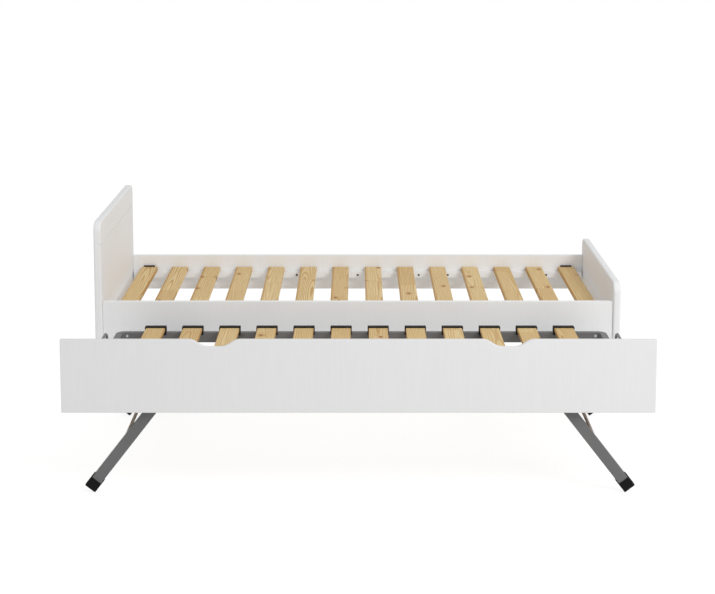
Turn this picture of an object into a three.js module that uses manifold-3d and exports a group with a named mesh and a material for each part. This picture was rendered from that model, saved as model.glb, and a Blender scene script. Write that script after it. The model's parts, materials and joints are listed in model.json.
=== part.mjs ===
// A single bed with a slatted trundle bed parked in front of it, raised on its folding legs.
// Millimetres, +Z up. X runs from the headboard (-X) to the footboard (+X), and Y runs from
// the front (-Y) to the back (+Y). The origin is on the floor, under the middle of the whole.

import * as THREE from 'three';
import { mergeVertices } from 'three/addons/utils/BufferGeometryUtils.js';
import Module from 'manifold-3d';

const wasm = await Module();
wasm.setup();

// ---------------------------------------------------------------- driving dimensions

// clearances
const seatGap = 0.3; // between a piece and the piece that it rests on or is fixed to
const runningGap = 0.3; // between a shaft and its hole, all round

// bed: mattress space
const mattressLength = 1900;
const mattressWidth = 900;
const mattressEndPlay = 14; // spare length between the headboard and the footboard
const mattressSidePlay = 6; // spare width between the rails

// bed: headboard and footboard
const panelThickness = 28;
const headboardHeight = 724;
const footboardHeight = 494;
const panelCornerRadius = 40;
const panelEdgeRadius = 8;
const grooveBelowTop = 84;
const grooveWidth = 7;
const grooveDepth = 3;

// bed: side rails
const railThickness = 22;
const railHeight = 145;
const railTop = 421;
const railInset = 10; // from the panels' edge to the rail's outer face
const railEdgeRadius = 2;

// bed: battens and slats
const battenWidth = 28;
const battenHeight = 25;
const battenEndGap = 6;
const battenBottom = 329;
const bedSlatCount = 14;
const bedSlatWidth = 68;
const bedSlatThickness = 18;
const endSlatFromPanel = 71; // from a panel to the middle of the slat beside it
const firstSlatSpacing = 130.2; // from the first slat to the second, as they are laid
const lastSlatSpacing = 138.2; // from the last slat but one to the last
const bedSlatEndGap = 5; // from a slat's end to the rail
const bedSlatCornerCut = 8; // on the first and the last slat

// trundle: where it is parked
const parkedGap = 37.5; // from the rear legs to the bed's front edge
const trundleShift = 13; // along X, from the bed's middle to the trundle's

// trundle: drawer front
const drawerFrontLength = 1907;
const drawerFrontHeight = 240;
const drawerFrontThickness = 19;
const drawerFrontEdgeRadius = 2;
const drawerFrontBottom = 273.5;
const drawerFrontShift = -11; // along X, from the frame's middle to the drawer front's
const gripSpacing = 941; // between the middles of the two grip cut-outs
const gripShift = 9; // along X, from the drawer front's middle to the grips'
const gripWidth = 160;
const gripFloorWidth = 66;
const gripDepth = 24;

// trundle: slatted frame
const frameLength = 1812;
const frameWidth = 858;
const frameBottom = 289.5;
const frameTubeWidth = 25;
const frameTubeHeight = 38;
const frameTubeWall = 1.5;
const frameCornerRadius = 36;
const crossMemberSpacing = 900; // between the middles of the two cross members
const crossMemberWidth = 30;
const crossMemberHeight = 25;
const crossMemberWall = 1.5;

// trundle: slats and their end caps
const trundleSlatCount = 12;
const trundleSlatWidth = 71;
const trundleSlatThickness = 13;
const trundleSlatEdgeRadius = 1.8;
const trundleSlatPitch = 137.1;
const trundleSlatShift = -6; // along X, from the frame's middle to the row's
const capFloor = 4;
const capSideWall = 3.4;
const capTopWall = 3.6;
const capEndWall = 3;
const capLength = 30; // along the slat
const capSkirtDepth = 7; // how far the inner lip hangs beside the tube
const capSkirtThickness = 3;
const capCarrierWidth = 12;
const capCarrierThickness = 2;

// trundle: folding legs
const legSplayDegrees = 37.8; // from the vertical, foot outwards
const legPivotSpacing = 1292; // between the pivots of the left and the right legs
const legShift = -6; // along X, from the frame's middle to the legs'
const legWidth = 36;
const legDepth = 22;
const legWall = 1.8;
const legEdgeRadius = 3;
const legHeadLength = 19; // from the pivot to the leg's upper end
const legToDrawerFront = 9;
const legAxleRadius = 12;
const legAxleWall = 2;
const legCollarRadius = 17;
const legCollarEndGap = 1;
const footCapWall = 2.2;
const footCapEndWall = 6;
const footCapSideLength = 50;
const footCapFaceLength = 35;

// trundle: leg springs
const springSpace = 13; // between the leg and the frame's tube
const springRadius = 5;
const springPinRadius = 3;
const springPinLength = 10;
const springPinOnLeg = 213; // from the pivot, down the leg
const springPinOutboard = 66.5; // from the pivot, outwards, to the pin on the frame
const springPinBelow = 24; // from the pivot, down, to the pin on the frame
const springLugWidth = 14;
const springLugThickness = 4;
const springLugFoot = 7; // material under the pin

// trundle: mattress hoops
const hoopRodRadius = 5;
const hoopWidth = 270;
const hoopHeight = 73; // from the frame's top to the hoop's top
const hoopBendRadius = 50;
const hoopFromEnd = 6; // from the frame's end face to the middle of the rod

// trundle: transport wheels
const wheelRadius = 20;
const wheelWidth = 18;
const wheelInset = 110; // from the frame's outer face to the wheel's middle
const wheelTopGap = 6; // under the cross member
const wheelSideGap = 1;
const wheelAxleRadius = 4;
const wheelEdgeRadius = 3;
const forkThickness = 3;
const forkWidth = 24;
const forkFoot = 9; // material under the wheel's axle

// trundle: brackets that carry the drawer front
const bracketSpacing = 780; // between neighbouring brackets
const bracketWidth = 40;
const bracketThickness = 4;
const bracketRise = 120; // above the frame's top

// how finely round shapes are made
const cornerSegments = 5;
const edgeSegments = 2;
const gripSegments = 5;
const axleSides = 16;
const wheelSides = 20;
const hoopRodSides = 8;
const hoopSteps = 24;
const springSides = 10;
const joinOverlap = 1; // how far two pieces of one welded part run into each other
const mergeTolerance = 1e-4; // points of one solid that lie closer are one point

// ---------------------------------------------------------------- derived places

const railSpace = mattressWidth + mattressSidePlay; // between the rails
const panelDepth = railSpace + 2 * (railThickness + railInset);
const legSpace = legDepth + springSpace; // beside each of the frame's long tubes
const trundleDepth = drawerFrontThickness + legToDrawerFront + frameWidth + 2 * legSpace;
const overallDepth = trundleDepth + parkedGap + panelDepth;
const frontY = -overallDepth / 2; // front face of the drawer front
const bedFrontY = frontY + trundleDepth + parkedGap;
const bedMiddleY = bedFrontY + panelDepth / 2;
const panelInnerX = (mattressLength + mattressEndPlay) / 2;

const battenTop = battenBottom + battenHeight;
const bedSlatBottom = battenTop + seatGap;
const bedSlatLength = railSpace - 2 * bedSlatEndGap;

const legFrontY = frontY + drawerFrontThickness + legToDrawerFront;
const frameFrontY = legFrontY + legSpace;
const frameMiddleY = frameFrontY + frameWidth / 2;
const frameTop = frameBottom + frameTubeHeight;
const tubeMiddleY = frameWidth / 2 - frameTubeWidth / 2; // of a long tube, from the frame's middle
const legMiddleY = frameWidth / 2 + springSpace + legDepth / 2;
const springMiddleY = frameWidth / 2 + springSpace / 2;

const capBottom = frameTop + seatGap;
const trundleSlatBottom = capBottom + capFloor + seatGap;
const capTop = trundleSlatBottom + trundleSlatThickness + seatGap + capTopWall;
const capOuterY = frameWidth / 2;
const trundleSlatLength = 2 * (capOuterY - capEndWall - seatGap);

const legSplay = THREE.MathUtils.degToRad(legSplayDegrees);
const pivotX = legPivotSpacing / 2;
const pivotZ = frameBottom + frameTubeHeight / 2;
const legPlace = (side) => legShift + side * pivotX; // the pivot's X; side is -1 or 1
const footCapWidth = legWidth + 2 * (seatGap + footCapWall);
// the foot stands on the inner edge of its square end
const legReach = (pivotZ - footCapWidth / 2 * Math.sin(legSplay)) / Math.cos(legSplay);
const legEnd = legReach - footCapEndWall - seatGap;

const wheelZ = frameBottom - wheelTopGap - wheelRadius;
const wheelY = frameWidth / 2 - wheelInset;

// ---------------------------------------------------------------- materials

const material = (color, roughness, metalness) =>
  new THREE.MeshStandardMaterial({ color, roughness, metalness });

const whitePaint = material(0xf2f1ee, 0.45, 0);
const pine = material(0xd9b77c, 0.6, 0);
const greyMetal = material(0x55585a, 0.45, 0.6);
const blackPlastic = material(0x1b1c1d, 0.55, 0);
const springSteel = material(0x8a7a70, 0.4, 0.9);
const wheelPlastic = material(0x8c8f92, 0.5, 0);

// ---------------------------------------------------------------- solid helpers

// A closed geometry as a solid for cutting and joining.
function solidOf(geometry) {
  const bare = geometry.clone();
  bare.deleteAttribute('normal');
  bare.deleteAttribute('uv');
  const merged = mergeVertices(bare, mergeTolerance);
  return new wasm.Manifold(new wasm.Mesh({
    numProp: 3,
    vertProperties: new Float32Array(merged.attributes.position.array),
    triVerts: new Uint32Array(merged.index.array),
  }));
}

// A solid back as a geometry with flat faces.
function geometryOf(solid) {
  const mesh = solid.getMesh();
  const geometry = new THREE.BufferGeometry();
  geometry.setAttribute('position', new THREE.BufferAttribute(mesh.vertProperties, 3));
  geometry.setIndex(new THREE.BufferAttribute(mesh.triVerts, 1));
  const flat = geometry.toNonIndexed();
  flat.computeVertexNormals();
  return flat;
}

// A box given by its low and high ends on each axis.
function boxBetween([x0, x1], [y0, y1], [z0, z1]) {
  const box = new THREE.BoxGeometry(x1 - x0, y1 - y0, z1 - z0);
  return box.translate((x0 + x1) / 2, (y0 + y1) / 2, (z0 + z1) / 2);
}

const blockBetween = (x, y, z) => solidOf(boxBetween(x, y, z));

// A range of the given width about a middle.
const around = (middle, width) => [middle - width / 2, middle + width / 2];

function addMesh(parent, name, geometry, look) {
  const mesh = new THREE.Mesh(geometry, look);
  mesh.name = name;
  parent.add(mesh);
  return mesh;
}

const numbered = (name, index) => `${name}_${String(index + 1).padStart(2, '0')}`;

// The middle of one copy out of a row of them, evenly spaced about zero.
const placeInRow = (index, count, pitch) => (index - (count - 1) / 2) * pitch;

// A rectangle about the origin with rounded corners.
function roundedRectangle(width, height, radius) {
  const x = width / 2;
  const y = height / 2;
  const shape = new THREE.Shape();
  shape.moveTo(x, -y + radius);
  shape.lineTo(x, y - radius);
  shape.absarc(x - radius, y - radius, radius, 0, Math.PI / 2);
  shape.lineTo(-x + radius, y);
  shape.absarc(-x + radius, y - radius, radius, Math.PI / 2, Math.PI);
  shape.lineTo(-x, -y + radius);
  shape.absarc(-x + radius, -y + radius, radius, Math.PI, 1.5 * Math.PI);
  shape.lineTo(x - radius, -y);
  shape.absarc(x - radius, -y + radius, radius, 1.5 * Math.PI, 2 * Math.PI);
  return shape;
}

// A box about the origin whose four edges along X are rounded.
function roundedBar(length, width, height, radius) {
  const bar = new THREE.ExtrudeGeometry(roundedRectangle(width, height, radius), {
    depth: length,
    bevelEnabled: false,
    curveSegments: edgeSegments,
  });
  bar.translate(0, 0, -length / 2);
  bar.rotateX(Math.PI / 2);
  return bar.rotateZ(Math.PI / 2);
}

// ---------------------------------------------------------------- bed

// A headboard or footboard standing in the YZ plane, its inner face at X = 0 and its
// thickness towards -X. The two top corners are round and every edge is softened.
function endPanel(height) {
  const half = panelDepth / 2;
  const corner = panelCornerRadius;
  const outline = new THREE.Shape();
  outline.moveTo(-half, 0);
  outline.lineTo(half, 0);
  outline.lineTo(half, height - corner);
  outline.absarc(half - corner, height - corner, corner, 0, Math.PI / 2);
  outline.lineTo(-half + corner, height);
  outline.absarc(-half + corner, height - corner, corner, Math.PI / 2, Math.PI);
  const panel = new THREE.ExtrudeGeometry(outline, {
    depth: panelThickness - 2 * panelEdgeRadius,
    bevelThickness: panelEdgeRadius,
    bevelSize: panelEdgeRadius,
    bevelOffset: -panelEdgeRadius,
    bevelSegments: edgeSegments,
    curveSegments: cornerSegments,
  });
  panel.translate(0, 0, panelEdgeRadius - panelThickness);
  panel.rotateX(Math.PI / 2);
  return panel.rotateZ(Math.PI / 2);
}

function headboardGeometry() {
  const grooveZ = headboardHeight - grooveBelowTop;
  const groove = blockBetween(
    [-grooveDepth, grooveDepth],
    around(0, panelDepth + 2 * grooveDepth),
    around(grooveZ, grooveWidth),
  );
  return geometryOf(solidOf(endPanel(headboardHeight)).subtract(groove));
}

function addEndPanels(bed) {
  const head = addMesh(bed, 'headboard', headboardGeometry(), whitePaint);
  head.position.set(-panelInnerX, 0, 0);
  const foot = addMesh(bed, 'footboard', endPanel(footboardHeight), whitePaint);
  foot.position.set(panelInnerX, 0, 0);
  foot.rotation.z = Math.PI;
}

function addRails(bed) {
  const length = 2 * (panelInnerX - seatGap);
  const rail = roundedBar(length, railThickness, railHeight, railEdgeRadius);
  const y = railSpace / 2 + railThickness / 2;
  const z = railTop - railHeight / 2;
  addMesh(bed, 'front_rail', rail, whitePaint).position.set(0, -y, z);
  addMesh(bed, 'rear_rail', rail, whitePaint).position.set(0, y, z);
}

function addBattens(bed) {
  const length = 2 * (panelInnerX - battenEndGap);
  const batten = new THREE.BoxGeometry(length, battenWidth, battenHeight);
  const y = railSpace / 2 - seatGap - battenWidth / 2;
  const z = battenBottom + battenHeight / 2;
  addMesh(bed, 'front_batten', batten, whitePaint).position.set(0, -y, z);
  addMesh(bed, 'rear_batten', batten, whitePaint).position.set(0, y, z);
}

// A slat across the bed; the end slats have their two outer corners cut off.
// cutSide is -1 or 1 for the side that is cut, and 0 for a plain slat.
function bedSlat(cutSide) {
  const x = bedSlatWidth / 2;
  const y = bedSlatLength / 2;
  const cut = bedSlatCornerCut;
  const outline = new THREE.Shape();
  outline.moveTo(-x, -y);
  if (cutSide === 0) {
    outline.lineTo(x, -y);
    outline.lineTo(x, y);
  } else {
    outline.lineTo(x - cut, -y);
    outline.lineTo(x, -y + cut);
    outline.lineTo(x, y - cut);
    outline.lineTo(x - cut, y);
  }
  outline.lineTo(-x, y);
  const slat = new THREE.ExtrudeGeometry(outline, {
    depth: bedSlatThickness,
    bevelEnabled: false,
  });
  return cutSide < 0 ? slat.rotateZ(Math.PI) : slat;
}

// The two end slats have fixed places, and the others are spread evenly between them.
function addBedSlats(bed) {
  const endX = panelInnerX - endSlatFromPanel;
  const second = -endX + firstSlatSpacing;
  const lastButOne = endX - lastSlatSpacing;
  for (let i = 0; i < bedSlatCount; i += 1) {
    const side = Number(i === bedSlatCount - 1) - Number(i === 0);
    const rowX = THREE.MathUtils.lerp(second, lastButOne, (i - 1) / (bedSlatCount - 3));
    const mesh = addMesh(bed, numbered('bed_slat', i), bedSlat(side), pine);
    mesh.position.set(side === 0 ? rowX : side * endX, 0, bedSlatBottom);
  }
}

// ---------------------------------------------------------------- trundle: drawer front

// Half of one grip cut-out's edge, as a smooth S from the top edge down to its floor.
function addGrip(outline, middle, top) {
  const edge = gripWidth / 2;
  const floor = gripFloorWidth / 2;
  const bend = (edge - floor) / 2;
  outline.lineTo(middle + edge, top);
  outline.bezierCurveTo(
    middle + edge - bend, top,
    middle + floor + bend, top - gripDepth,
    middle + floor, top - gripDepth,
  );
  outline.lineTo(middle - floor, top - gripDepth);
  outline.bezierCurveTo(
    middle - floor - bend, top - gripDepth,
    middle - edge + bend, top,
    middle - edge, top,
  );
}

function drawerFront() {
  const x = drawerFrontLength / 2;
  const outline = new THREE.Shape();
  outline.moveTo(-x, 0);
  outline.lineTo(x, 0);
  outline.lineTo(x, drawerFrontHeight);
  addGrip(outline, gripShift + gripSpacing / 2, drawerFrontHeight);
  addGrip(outline, gripShift - gripSpacing / 2, drawerFrontHeight);
  outline.lineTo(-x, drawerFrontHeight);
  const edge = drawerFrontEdgeRadius;
  const front = new THREE.ExtrudeGeometry(outline, {
    depth: drawerFrontThickness - 2 * edge,
    bevelThickness: edge,
    bevelSize: edge,
    bevelOffset: -edge,
    bevelSegments: 1,
    curveSegments: gripSegments,
  });
  front.translate(0, 0, edge - drawerFrontThickness);
  return front.rotateX(Math.PI / 2);
}

function addDrawerFront(trundle) {
  const mesh = addMesh(trundle, 'drawer_front', drawerFront(), whitePaint);
  mesh.position.set(drawerFrontShift, frontY - frameMiddleY, drawerFrontBottom);
}

// A bracket bent from strip: one flange on the back of the drawer front, one on the tube.
function drawerFrontBracket() {
  const back = frontY + drawerFrontThickness + seatGap - frameMiddleY;
  const tube = -frameWidth / 2 - seatGap;
  const top = frameTop + bracketRise;
  const t = bracketThickness;
  const profile = new THREE.Shape();
  profile.moveTo(back, frameTop - t);
  profile.lineTo(tube - t, frameTop - t);
  profile.lineTo(tube - t, frameBottom);
  profile.lineTo(tube, frameBottom);
  profile.lineTo(tube, frameTop);
  profile.lineTo(back + t, frameTop);
  profile.lineTo(back + t, top);
  profile.lineTo(back, top);
  const bracket = new THREE.ExtrudeGeometry(profile, {
    depth: bracketWidth,
    bevelEnabled: false,
  });
  bracket.translate(0, 0, -bracketWidth / 2);
  bracket.rotateX(Math.PI / 2);
  return bracket.rotateZ(Math.PI / 2);
}

function addDrawerFrontBrackets(trundle) {
  ['left', 'middle', 'right'].forEach((side, i) => {
    const bracket = addMesh(trundle, `drawer_front_bracket_${side}`, drawerFrontBracket(), greyMetal);
    bracket.position.x = (i - 1) * bracketSpacing;
  });
}

// ---------------------------------------------------------------- trundle: frame

// A round bar along Y, between two ends.
function roundAlongY(radius, [y0, y1], x, z) {
  const bar = new THREE.CylinderGeometry(radius, radius, y1 - y0, axleSides);
  return solidOf(bar.translate(x, (y0 + y1) / 2, z));
}

// The radius of a faceted hole that a round shaft runs in.
const holeFor = (shaftRadius) => (shaftRadius + runningGap) / Math.cos(Math.PI / axleSides);

// The lug under a long tube and its pin, which hold a leg spring's upper end.
// side is -1 or 1 for left or right, and face is the Y of the tube's outer face.
function springLug(side, outward, face) {
  const x = legPlace(side) + side * springPinOutboard;
  const z = pivotZ - springPinBelow;
  const inner = face - outward * springLugThickness;
  const lug = blockBetween(
    around(x, springLugWidth),
    [Math.min(face, inner), Math.max(face, inner)],
    [z - springLugFoot, frameBottom + frameTubeWall / 2],
  );
  const start = face - outward * springLugThickness / 2;
  const end = face + outward * springPinLength;
  const pin = roundAlongY(springPinRadius, [Math.min(start, end), Math.max(start, end)], x, z);
  return lug.add(pin);
}

// A long tube of the frame, with the bores that the legs' axles turn in.
// outward is -1 for the front tube and 1 for the rear one.
function longTube(outward) {
  const reach = frameLength / 2 - frameCornerRadius - seatGap;
  const y = outward * tubeMiddleY;
  const face = outward * frameWidth / 2;
  const middleZ = frameBottom + frameTubeHeight / 2;
  const hollow = 2 * frameTubeWall;
  let tube = blockBetween([-reach, reach], around(y, frameTubeWidth), [frameBottom, frameTop]);
  tube = tube.subtract(blockBetween(
    [-reach - joinOverlap, reach + joinOverlap],
    around(y, frameTubeWidth - hollow),
    around(middleZ, frameTubeHeight - hollow),
  ));
  for (const side of [-1, 1]) {
    const through = around(y, frameTubeWidth + 2 * joinOverlap);
    tube = tube.subtract(roundAlongY(holeFor(legAxleRadius), through, legPlace(side), pivotZ));
    tube = tube.add(springLug(side, outward, face));
  }
  return geometryOf(tube);
}

// The plan outline of a bent end tube, from one long tube round to the other, shrunk
// on all sides by the inset and lengthened at its two open ends by the overrun.
function endTubeOutline(inset, overrun) {
  const outerX = frameLength / 2 - inset;
  const innerX = frameLength / 2 - frameTubeWidth + inset;
  const outerY = frameWidth / 2 - inset;
  const innerY = frameWidth / 2 - frameTubeWidth + inset;
  const bendX = frameLength / 2 - frameCornerRadius;
  const bendY = frameWidth / 2 - frameCornerRadius;
  const outerBend = frameCornerRadius - inset;
  const innerBend = frameCornerRadius - frameTubeWidth + inset;
  const outline = new THREE.Shape();
  outline.moveTo(bendX - overrun, -outerY);
  outline.lineTo(bendX, -outerY);
  outline.absarc(bendX, -bendY, outerBend, -Math.PI / 2, 0);
  outline.lineTo(outerX, bendY);
  outline.absarc(bendX, bendY, outerBend, 0, Math.PI / 2);
  outline.lineTo(bendX - overrun, outerY);
  outline.lineTo(bendX - overrun, innerY);
  outline.lineTo(bendX, innerY);
  outline.absarc(bendX, bendY, innerBend, Math.PI / 2, 0, true);
  outline.lineTo(innerX, -bendY);
  outline.absarc(bendX, -bendY, innerBend, 0, -Math.PI / 2, true);
  outline.lineTo(bendX - overrun, -innerY);
  return outline;
}

function endTube() {
  const extrude = (inset, overrun) => {
    const tube = new THREE.ExtrudeGeometry(endTubeOutline(inset, overrun), {
      depth: frameTubeHeight - 2 * inset,
      bevelEnabled: false,
      curveSegments: cornerSegments,
    });
    return solidOf(tube.translate(0, 0, frameBottom + inset));
  };
  return geometryOf(extrude(0, 0).subtract(extrude(frameTubeWall, joinOverlap)));
}

function addFrame(trundle) {
  addMesh(trundle, 'frame_front_tube', longTube(-1), greyMetal);
  addMesh(trundle, 'frame_rear_tube', longTube(1), greyMetal);
  addMesh(trundle, 'frame_right_end', endTube(), greyMetal);
  addMesh(trundle, 'frame_left_end', endTube(), greyMetal).rotation.z = Math.PI;
}

// A wheel fork under a cross member: two cheeks and the wheel's axle.
function wheelFork(y) {
  const cheekMiddle = wheelWidth / 2 + wheelSideGap + forkThickness / 2;
  const cheekZ = [wheelZ - forkFoot, frameBottom + crossMemberWall / 2];
  const axleLength = 2 * cheekMiddle;
  const axle = new THREE.CylinderGeometry(wheelAxleRadius, wheelAxleRadius, axleLength, axleSides);
  axle.rotateZ(Math.PI / 2);
  let fork = solidOf(axle.translate(0, y, wheelZ));
  for (const side of [-1, 1]) {
    const cheekX = around(side * cheekMiddle, forkThickness);
    fork = fork.add(blockBetween(cheekX, around(y, forkWidth), cheekZ));
  }
  return fork;
}

// A cross member between the long tubes, with a wheel fork near each end.
function crossMember() {
  const reach = frameWidth / 2 - frameTubeWidth - seatGap;
  const middleZ = frameBottom + crossMemberHeight / 2;
  const hollow = 2 * crossMemberWall;
  let member = blockBetween(
    around(0, crossMemberWidth),
    [-reach, reach],
    around(middleZ, crossMemberHeight),
  );
  member = member.subtract(blockBetween(
    around(0, crossMemberWidth - hollow),
    [-reach - joinOverlap, reach + joinOverlap],
    around(middleZ, crossMemberHeight - hollow),
  ));
  return geometryOf(member.add(wheelFork(-wheelY)).add(wheelFork(wheelY)));
}

// A wheel with rounded treads, turning about X.
function wheel() {
  const bore = holeFor(wheelAxleRadius);
  const half = wheelWidth / 2;
  const edge = wheelEdgeRadius;
  const profile = [
    new THREE.Vector2(bore, -half),
    new THREE.Vector2(wheelRadius - edge, -half),
    new THREE.Vector2(wheelRadius, -half + edge),
    new THREE.Vector2(wheelRadius, half - edge),
    new THREE.Vector2(wheelRadius - edge, half),
    new THREE.Vector2(bore, half),
    new THREE.Vector2(bore, -half),
  ];
  return new THREE.LatheGeometry(profile, wheelSides).rotateZ(-Math.PI / 2);
}

function addCrossMembers(trundle) {
  for (const [name, side] of [['left', -1], ['right', 1]]) {
    const x = side * crossMemberSpacing / 2;
    addMesh(trundle, `cross_member_${name}`, crossMember(), greyMetal).position.x = x;
    addMesh(trundle, `wheel_front_${name}`, wheel(), wheelPlastic).position.set(x, -wheelY, wheelZ);
    addMesh(trundle, `wheel_rear_${name}`, wheel(), wheelPlastic).position.set(x, wheelY, wheelZ);
  }
}

// ---------------------------------------------------------------- trundle: slats

const slatPlace = (index) => placeInRow(index, trundleSlatCount, trundleSlatPitch);

function addTrundleSlats(trundle) {
  const slat = roundedBar(
    trundleSlatLength, trundleSlatWidth, trundleSlatThickness, trundleSlatEdgeRadius,
  );
  slat.rotateZ(Math.PI / 2);
  const z = trundleSlatBottom + trundleSlatThickness / 2;
  for (let i = 0; i < trundleSlatCount; i += 1) {
    const x = trundleSlatShift + slatPlace(i);
    addMesh(trundle, numbered('trundle_slat', i), slat, pine).position.set(x, 0, z);
  }
}

// The slat holders along one long tube: a cap for each slat end, joined by a thin strip.
// Each cap lies over the tube, open towards the middle, with a lip down the tube's inner face.
function slatCaps() {
  const outerWidth = trundleSlatWidth + 2 * (seatGap + capSideWall);
  const pocketWidth = trundleSlatWidth + 2 * seatGap;
  const innerY = capOuterY - capLength;
  const tubeFace = capOuterY - frameTubeWidth;
  const stripReach = slatPlace(trundleSlatCount - 1);
  const stripZ = [capBottom, capBottom + capCarrierThickness];
  let caps = blockBetween(
    [-stripReach, stripReach],
    around(tubeMiddleY, capCarrierWidth),
    stripZ,
  );
  for (let i = 0; i < trundleSlatCount; i += 1) {
    const x = slatPlace(i);
    const skirtEnd = tubeFace - seatGap;
    const body = blockBetween(around(x, outerWidth), [innerY, capOuterY], [capBottom, capTop]);
    const skirt = blockBetween(
      around(x, outerWidth),
      [skirtEnd - capSkirtThickness, skirtEnd],
      [frameTop - capSkirtDepth, capBottom + joinOverlap],
    );
    caps = caps.add(body).add(skirt);
  }
  for (let i = 0; i < trundleSlatCount; i += 1) {
    caps = caps.subtract(blockBetween(
      around(slatPlace(i), pocketWidth),
      [innerY - joinOverlap, capOuterY - capEndWall],
      [capBottom + capFloor, capTop - capTopWall],
    ));
  }
  return geometryOf(caps);
}

function addSlatCaps(trundle) {
  const caps = slatCaps();
  const rear = addMesh(trundle, 'slat_caps_rear', caps, blackPlastic);
  const front = addMesh(trundle, 'slat_caps_front', caps, blackPlastic);
  rear.position.x = trundleSlatShift;
  front.position.x = trundleSlatShift;
  front.rotation.z = Math.PI;
}

// ---------------------------------------------------------------- trundle: mattress hoops

// The middle line of a mattress hoop: an inverted U in the YZ plane, with round bends.
class HoopLine extends THREE.Curve {
  constructor(halfWidth, base, top, bend) {
    super();
    this.halfWidth = halfWidth;
    this.base = base;
    this.bend = bend;
    this.rise = top - base - bend;
    this.quarter = bend * Math.PI / 2;
    this.flat = halfWidth - bend;
  }

  // The point at a distance along the first half, from the foot to the middle of the top.
  halfPoint(distance) {
    const { halfWidth, base, bend, rise, quarter } = this;
    if (distance <= rise) return new THREE.Vector3(0, -halfWidth, base + distance);
    if (distance <= rise + quarter) {
      const angle = (distance - rise) / bend;
      const y = -halfWidth + bend * (1 - Math.cos(angle));
      return new THREE.Vector3(0, y, base + rise + bend * Math.sin(angle));
    }
    const along = distance - rise - quarter;
    return new THREE.Vector3(0, -halfWidth + bend + along, base + rise + bend);
  }

  getPoint(t) {
    const half = this.rise + this.quarter + this.flat;
    const distance = 2 * half * t;
    const point = this.halfPoint(Math.min(distance, 2 * half - distance));
    if (distance > half) point.y = -point.y;
    return point;
  }
}

function mattressHoop() {
  const line = new HoopLine(
    hoopWidth / 2 - hoopRodRadius,
    frameTop + seatGap,
    frameTop + hoopHeight - hoopRodRadius,
    hoopBendRadius,
  );
  const section = new THREE.Shape().absarc(0, 0, hoopRodRadius, 0, 2 * Math.PI);
  return new THREE.ExtrudeGeometry(section, {
    extrudePath: line,
    steps: hoopSteps,
    curveSegments: hoopRodSides / 2,
  });
}

function addMattressHoops(trundle) {
  const x = frameLength / 2 - hoopFromEnd;
  addMesh(trundle, 'mattress_hoop_left', mattressHoop(), greyMetal).position.x = -x;
  addMesh(trundle, 'mattress_hoop_right', mattressHoop(), greyMetal).position.x = x;
}

// ---------------------------------------------------------------- trundle: folding legs

// In a leg assembly's own space the axle lies along Y through the origin, and the two
// legs hang straight down from it.
function legBar(y, width, depth, radius, [z0, z1]) {
  const bar = new THREE.ExtrudeGeometry(roundedRectangle(width, depth, radius), {
    depth: z1 - z0,
    bevelEnabled: false,
    curveSegments: edgeSegments,
  });
  return solidOf(bar.translate(0, y, z0));
}

// Two legs welded to the ends of one axle tube, with a collar and a spring pin on each.
function legAssembly() {
  const legInnerY = legMiddleY - legDepth / 2;
  const hollowWidth = legWidth - 2 * legWall;
  const hollowDepth = legDepth - 2 * legWall;
  const hollowRadius = legEdgeRadius - legWall;
  let metal = roundAlongY(legAxleRadius, [-legMiddleY, legMiddleY], 0, 0);
  for (const side of [-1, 1]) {
    const y = side * legMiddleY;
    const sorted = (a, b) => [Math.min(side * a, side * b), Math.max(side * a, side * b)];
    const collarSpan = sorted(frameWidth / 2 + legCollarEndGap, legInnerY + legWall / 2);
    const pinSpan = sorted(legInnerY - springPinLength, legInnerY + legWall / 2);
    metal = metal
      .add(legBar(y, legWidth, legDepth, legEdgeRadius, [-legEnd, legHeadLength]))
      .add(roundAlongY(legCollarRadius, collarSpan, 0, 0))
      .add(roundAlongY(springPinRadius, pinSpan, 0, -springPinOnLeg));
  }
  for (const side of [-1, 1]) {
    const span = [-legEnd - joinOverlap, legHeadLength - legWall];
    metal = metal.subtract(legBar(side * legMiddleY, hollowWidth, hollowDepth, hollowRadius, span));
  }
  const bore = roundAlongY(legAxleRadius - legAxleWall, [-legMiddleY, legMiddleY], 0, 0);
  return geometryOf(metal.subtract(bore));
}

// A cap over a leg's end. Its faces are shorter than its sides, so the leg shows above them.
function footCap(y) {
  const outerDepth = legDepth + 2 * (seatGap + footCapWall);
  const pocketWidth = legWidth + 2 * seatGap;
  const pocketDepth = legDepth + 2 * seatGap;
  const pocketFloor = -legReach + footCapEndWall;
  const rim = -legReach + footCapSideLength;
  const shortRim = -legReach + footCapFaceLength;
  const outerRadius = legEdgeRadius + seatGap + footCapWall;
  const cap = legBar(y, footCapWidth, outerDepth, outerRadius, [-legReach, rim])
    .subtract(legBar(
      y, pocketWidth, pocketDepth, legEdgeRadius + seatGap, [pocketFloor, rim + joinOverlap],
    ))
    .subtract(blockBetween(
      around(0, pocketWidth - 2 * legEdgeRadius),
      around(y, outerDepth + 2 * joinOverlap),
      [shortRim, rim + joinOverlap],
    ));
  return geometryOf(cap);
}

// The spring from its pin on the leg to its pin on the frame, as a plain rod.
// side is -1 for the left legs and 1 for the right ones.
function addSpring(trundle, name, side, y) {
  const onLeg = new THREE.Vector3(
    legPlace(side) + side * springPinOnLeg * Math.sin(legSplay),
    y,
    pivotZ - springPinOnLeg * Math.cos(legSplay),
  );
  const onFrame = new THREE.Vector3(
    legPlace(side) + side * springPinOutboard,
    y,
    pivotZ - springPinBelow,
  );
  const along = new THREE.Vector3().subVectors(onFrame, onLeg);
  const length = along.length() - 2 * (springPinRadius + seatGap);
  const rod = new THREE.CylinderGeometry(springRadius, springRadius, length, springSides);
  const spring = addMesh(trundle, name, rod, springSteel);
  spring.position.addVectors(onLeg, onFrame).multiplyScalar(0.5);
  spring.quaternion.setFromUnitVectors(new THREE.Vector3(0, 1, 0), along.normalize());
}

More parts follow.
